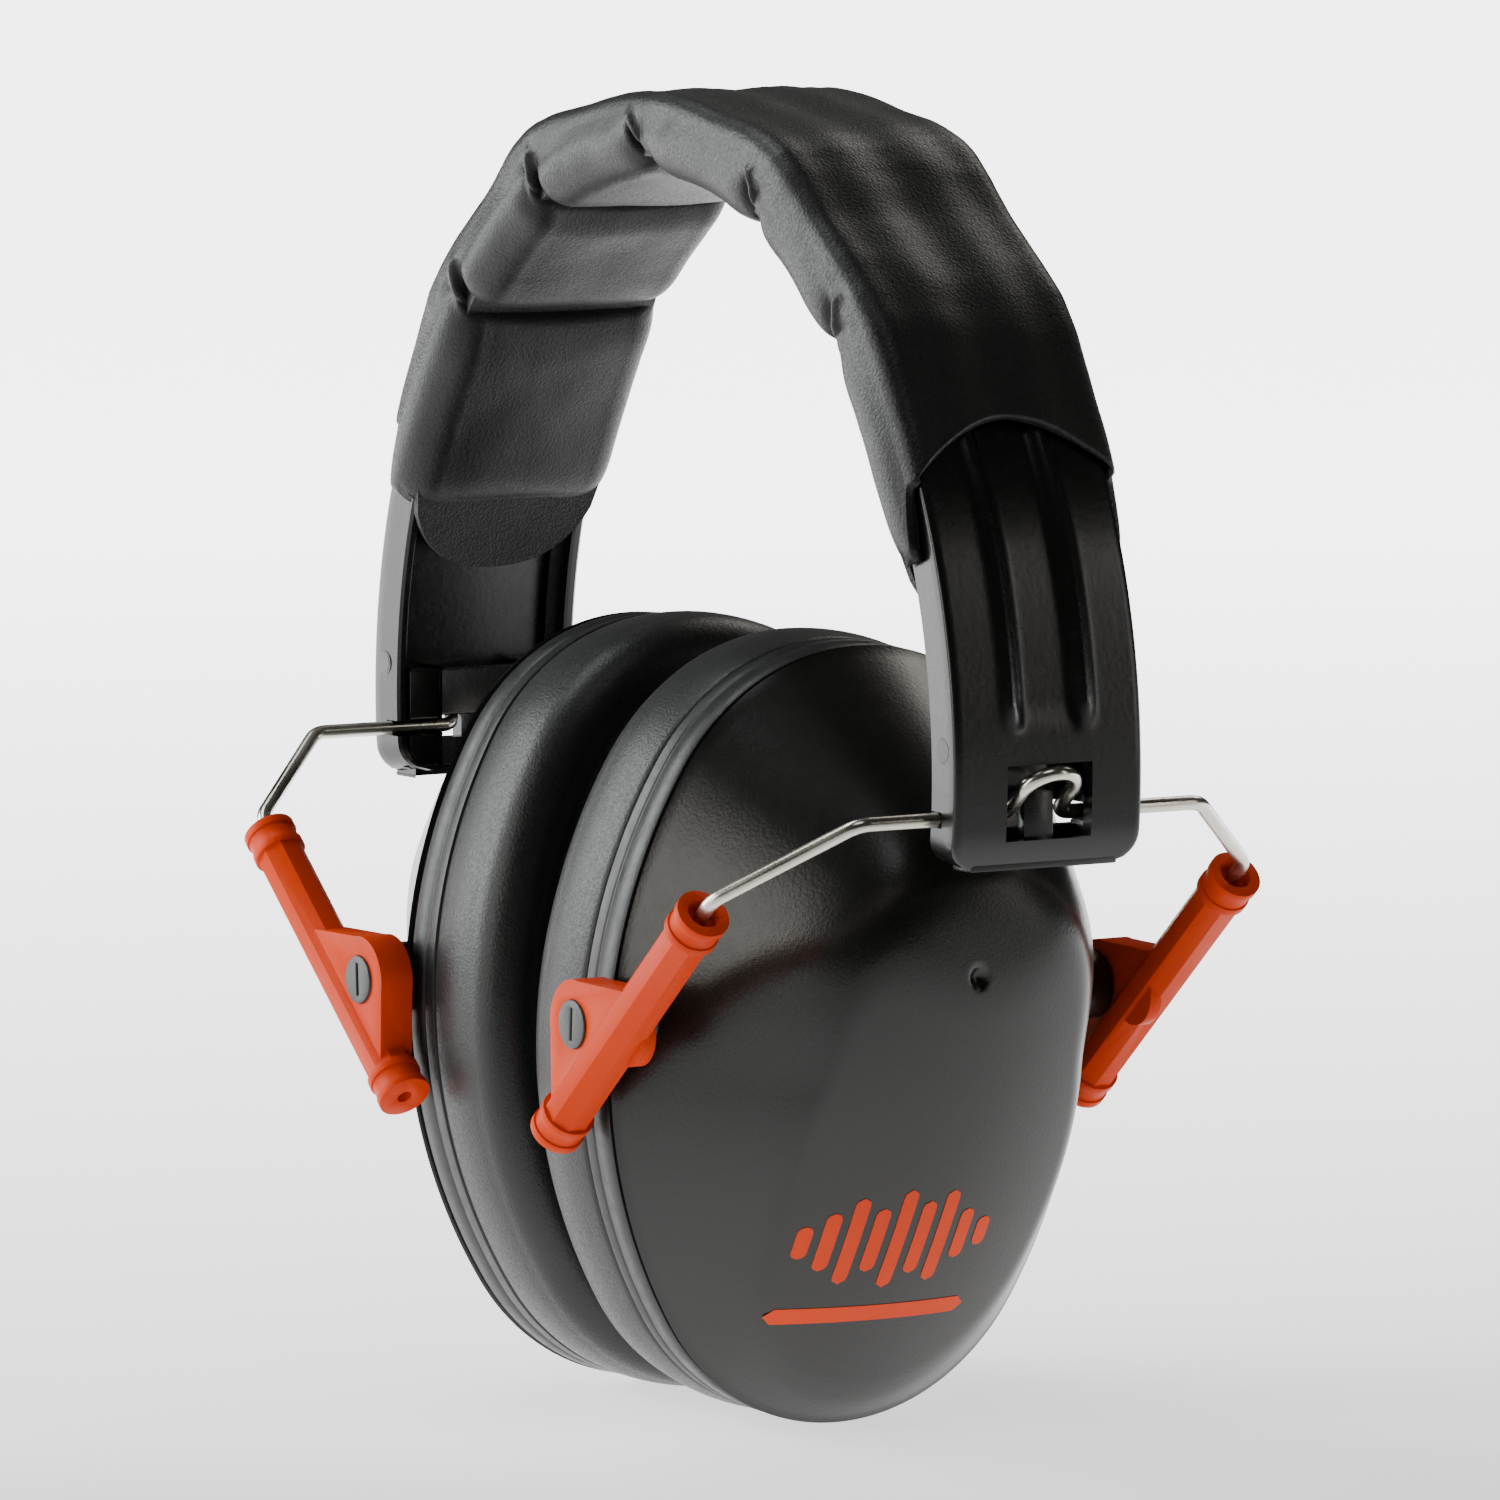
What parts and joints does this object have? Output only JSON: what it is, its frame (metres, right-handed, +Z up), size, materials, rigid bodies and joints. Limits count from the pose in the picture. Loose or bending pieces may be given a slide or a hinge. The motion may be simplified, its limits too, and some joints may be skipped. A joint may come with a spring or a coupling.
{
  "type": "hearing protection earmuffs",
  "caption": "Folding over-ear hearing protectors: padded headband, wire yokes with sliding arms, and deep oval cups with soft ear cushions.",
  "frame": {"origin": "where the crown of the wearer's head meets the middle of the headband padding", "axes": "+Z up, +X towards the wearer's right-hand cup as modelled, -Y the front; the cups hang below the origin"},
  "size_m": [0.1574, 0.092, 0.1805],
  "materials": {
    "band_plastic": "gloss",
    "leatherette": "pebbled",
    "liner_fabric": "matt",
    "foam": "open cell foam",
    "spring_wire": "bright",
    "orange_plastic": "satin",
    "pin_plastic": "satin",
    "shell_plastic": "satin",
    "plate_plastic": "satin"
  },
  "bodies": {
    "headband": {"headband_band": "band_plastic", "headband_cover": "leatherette", "headband_liner": "liner_fabric", "headband_pad_1": "foam", "headband_pad_2": "foam", "headband_pad_3": "foam", "headband_pad_4": "foam", "headband_pad_5": "foam", "headband_pad_6": "foam"},
    "yoke_right": {"wire_yoke_right": "spring_wire"},
    "slider_right": {"slider_arm_right_front": "orange_plastic", "slider_arm_right_rear": "orange_plastic"},
    "pins_right": {"pivot_pin_right_front": "pin_plastic", "pivot_pin_right_rear": "pin_plastic"},
    "cup_right": {"cup_shell_right": "shell_plastic", "cushion_plate_right": "plate_plastic", "ear_cushion_right": "leatherette", "cushion_foam_right": "foam", "cup_foam_right": "foam"},
    "yoke_left": {"wire_yoke_left": "spring_wire"},
    "slider_left": {"slider_arm_left_front": "orange_plastic", "slider_arm_left_rear": "orange_plastic"},
    "pins_left": {"pivot_pin_left_front": "pin_plastic", "pivot_pin_left_rear": "pin_plastic"},
    "cup_left": {"cup_shell_left": "shell_plastic", "cushion_plate_left": "plate_plastic", "ear_cushion_left": "leatherette", "cushion_foam_left": "foam", "cup_foam_left": "foam"}
  },
  "joints": [
    {"name": "fold_right", "type": "hinge", "parent": "headband", "child": "yoke_right", "pos_m": [0.071, 0, -0.0815], "axis": [0, 1, 0], "range_deg": [-6, 50], "deforming": ["ear_cushion_right", "cushion_foam_right"]},
    {"name": "slide_right", "type": "slide", "parent": "yoke_right", "child": "slider_right", "axis": [0.749, 0, 0.6626], "range_m": [-0.012, 0]},
    {"name": "pin_turn_right", "type": "hinge", "parent": "slider_right", "child": "pins_right", "pos_m": [0.02839, 0, -0.11106], "axis": [0, 1, 0], "range_deg": [-50, 6]},
    {"name": "tilt_right", "type": "hinge", "parent": "pins_right", "child": "cup_right", "pos_m": [0.02839, 0, -0.11106], "axis": [0, 1, 0], "range_deg": [-8, 4]},
    {"name": "fold_left", "type": "hinge", "parent": "headband", "child": "yoke_left", "pos_m": [-0.071, 0, -0.0815], "axis": [0, -1, 0], "range_deg": [-6, 50], "deforming": ["ear_cushion_left", "cushion_foam_left"]},
    {"name": "slide_left", "type": "slide", "parent": "yoke_left", "child": "slider_left", "axis": [-0.749, 0, 0.6626], "range_m": [-0.012, 0]},
    {"name": "pin_turn_left", "type": "hinge", "parent": "slider_left", "child": "pins_left", "pos_m": [-0.02839, 0, -0.11106], "axis": [0, -1, 0], "range_deg": [-50, 6]},
    {"name": "tilt_left", "type": "hinge", "parent": "pins_left", "child": "cup_left", "pos_m": [-0.02839, 0, -0.11106], "axis": [0, -1, 0], "range_deg": [-8, 4]}
  ],
  "couplings": [
    {"joint": "pin_turn_right", "follows": "fold_right", "ratio": -1},
    {"joint": "pin_turn_left", "follows": "fold_left", "ratio": -1}
  ]
}
